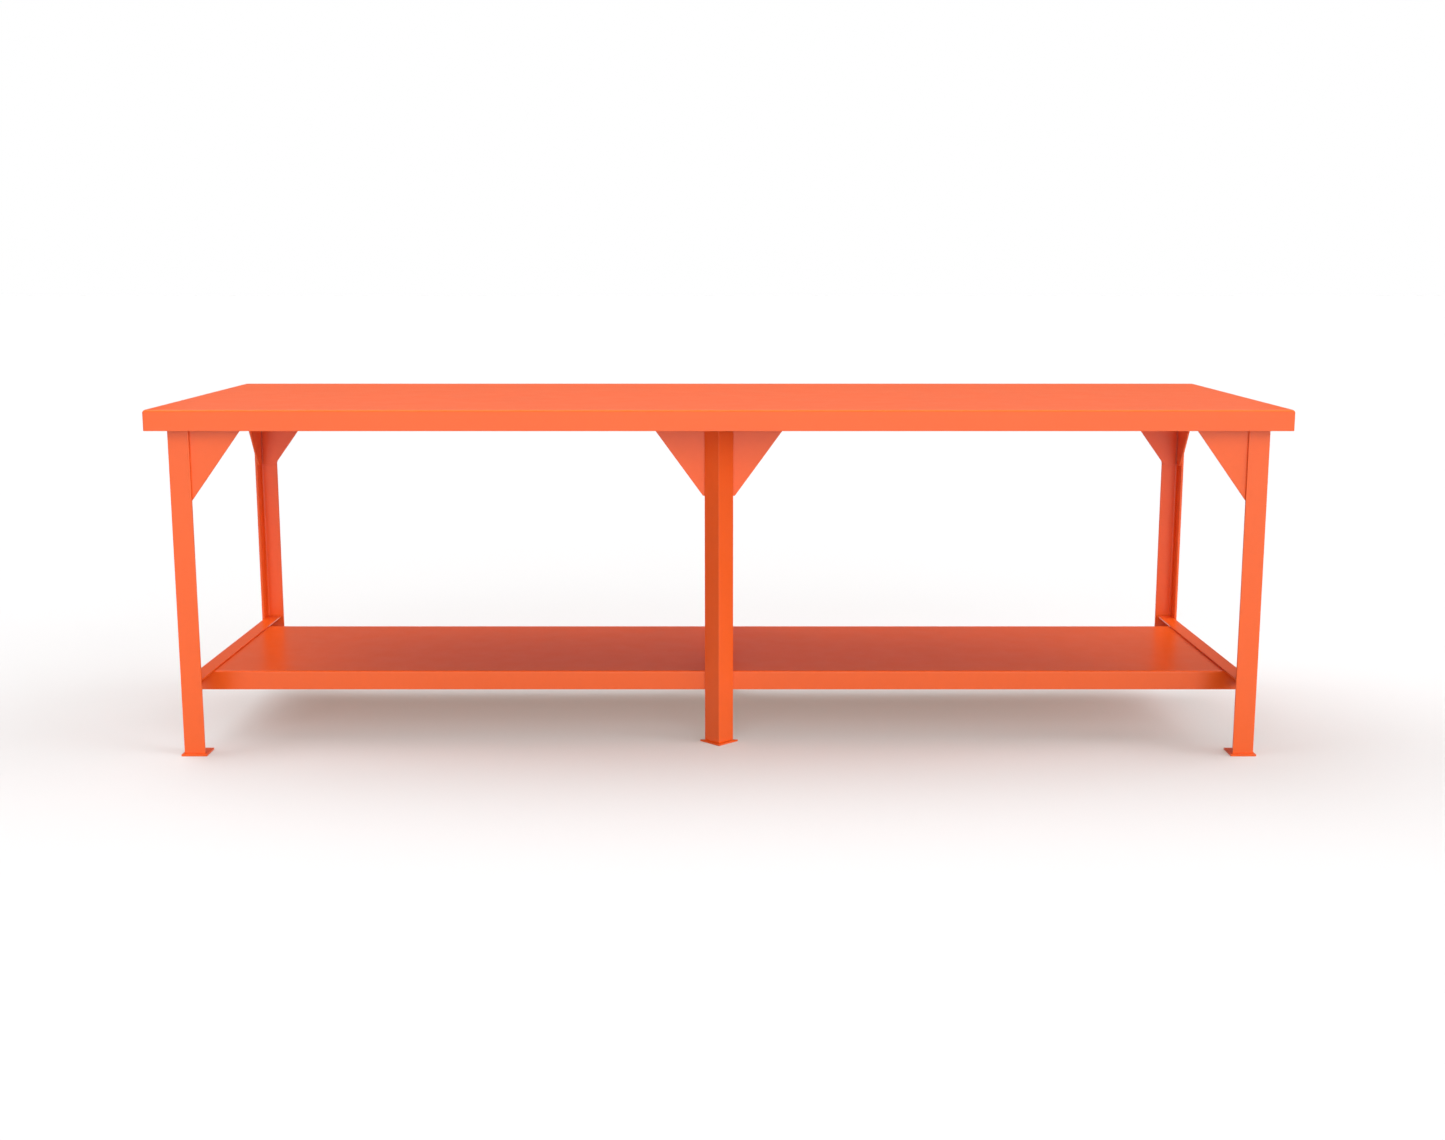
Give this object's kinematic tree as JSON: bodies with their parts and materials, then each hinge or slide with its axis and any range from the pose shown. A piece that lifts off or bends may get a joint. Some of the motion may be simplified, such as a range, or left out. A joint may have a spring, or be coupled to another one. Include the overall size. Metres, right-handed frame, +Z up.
{
  "type": "shop table",
  "caption": "Long welded steel shop table: a formed top with turned-down skirts on angle iron legs with gussets and foot pads, and a full-length lower shelf between end rails.",
  "frame": {"origin": "on the floor under the centre of the table, the middle of its bounding box's bottom face", "axes": "+Z up, +X along the table's length to the right as seen from the front, +Y from the front to the rear"},
  "size_m": [2.7432, 0.9144, 0.8636],
  "materials": {
    "top_coat": "semi-gloss orange powder coat",
    "frame_coat": "semi-gloss orange powder coat",
    "shelf_coat": "semi-gloss orange powder coat"
  },
  "bodies": {
    "root": {"table_top": "top_coat", "top_stiffener_left": "frame_coat", "top_stiffener_middle": "frame_coat", "top_stiffener_right": "frame_coat", "leg_front_left": "frame_coat", "leg_front_middle": "frame_coat", "leg_front_right": "frame_coat", "leg_rear_left": "frame_coat", "leg_rear_middle": "frame_coat", "leg_rear_right": "frame_coat", "foot_pad_front_left": "frame_coat", "foot_pad_front_middle": "frame_coat", "foot_pad_front_right": "frame_coat", "foot_pad_rear_left": "frame_coat", "foot_pad_rear_middle": "frame_coat", "foot_pad_rear_right": "frame_coat", "gusset_front_left_long": "frame_coat", "gusset_front_left_end": "frame_coat", "gusset_front_right_long": "frame_coat", "gusset_front_right_end": "frame_coat", "gusset_rear_left_long": "frame_coat", "gusset_rear_left_end": "frame_coat", "gusset_rear_right_long": "frame_coat", "gusset_rear_right_end": "frame_coat", "gusset_front_middle_left": "frame_coat", "gusset_front_middle_right": "frame_coat", "gusset_rear_middle_left": "frame_coat", "gusset_rear_middle_right": "frame_coat", "end_rail_left": "frame_coat", "end_rail_right": "frame_coat", "shelf": "shelf_coat", "shelf_stiffener_left": "shelf_coat", "shelf_stiffener_right": "shelf_coat"}
  },
  "joints": []
}
